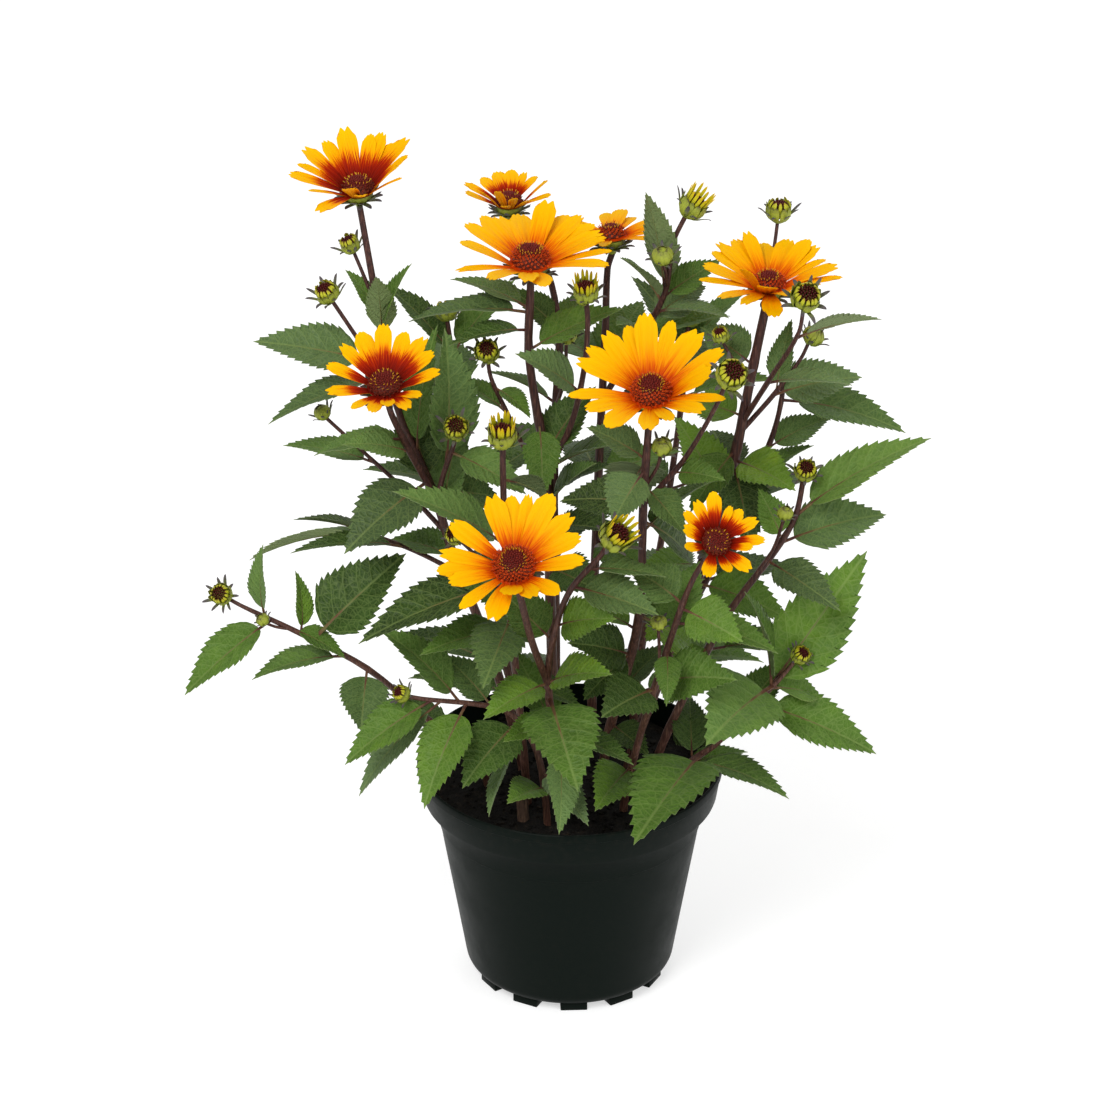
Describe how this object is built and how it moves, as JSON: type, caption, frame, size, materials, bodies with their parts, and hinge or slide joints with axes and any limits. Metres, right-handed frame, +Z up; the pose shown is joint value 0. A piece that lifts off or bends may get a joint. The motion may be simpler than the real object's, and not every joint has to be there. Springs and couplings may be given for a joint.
{
  "type": "potted false sunflower",
  "caption": "Bushy false sunflower with daisy heads, buds and toothed leaves on slim stems, growing in a round nursery pot of soil.",
  "frame": {"origin": "on the ground, under the middle of the whole plant, 7 mm to the left of the middle of the pot", "axes": "+Z up, front towards -Y, +X to the right seen from the front"},
  "size_m": [0.4, 0.2966, 0.4906],
  "materials": {
    "pot_plastic": "satin",
    "potting_soil": "damp and crumbly",
    "dry_stem": "dull",
    "foliage": "satin leaf",
    "golden_rays": "velvety petal",
    "burnt_rays": "velvety petal",
    "florets": "grainy"
  },
  "bodies": {
    "root": {"pot": "pot_plastic", "soil": "potting_soil", "cut_stub": "dry_stem", "shoot_left": "foliage", "shoot_low_left": "foliage", "shoot_rim_left": "foliage", "shoot_top": "foliage", "shoot_back_left": "foliage", "shoot_back": "foliage", "shoot_right": "foliage", "shoot_far_right": "foliage", "shoot_centre": "foliage", "shoot_front": "foliage", "shoot_front_left": "foliage", "shoot_right_front": "foliage", "shoot_low_right": "foliage", "shoot_rear_left": "foliage", "shoot_rear_right": "foliage", "bloom_upper_left_rays": "burnt_rays", "bloom_upper_left_disc": "florets", "bloom_back_left_rays": "burnt_rays", "bloom_back_left_disc": "florets", "bloom_top_rays": "golden_rays", "bloom_top_disc": "florets", "bloom_back_rays": "golden_rays", "bloom_back_disc": "florets", "bloom_right_rays": "golden_rays", "bloom_right_disc": "florets", "bloom_left_rays": "burnt_rays", "bloom_left_disc": "florets", "bloom_centre_rays": "golden_rays", "bloom_centre_disc": "florets", "bloom_front_rays": "golden_rays", "bloom_front_disc": "florets", "bloom_lower_right_rays": "burnt_rays", "bloom_lower_right_disc": "florets"}
  },
  "joints": []
}
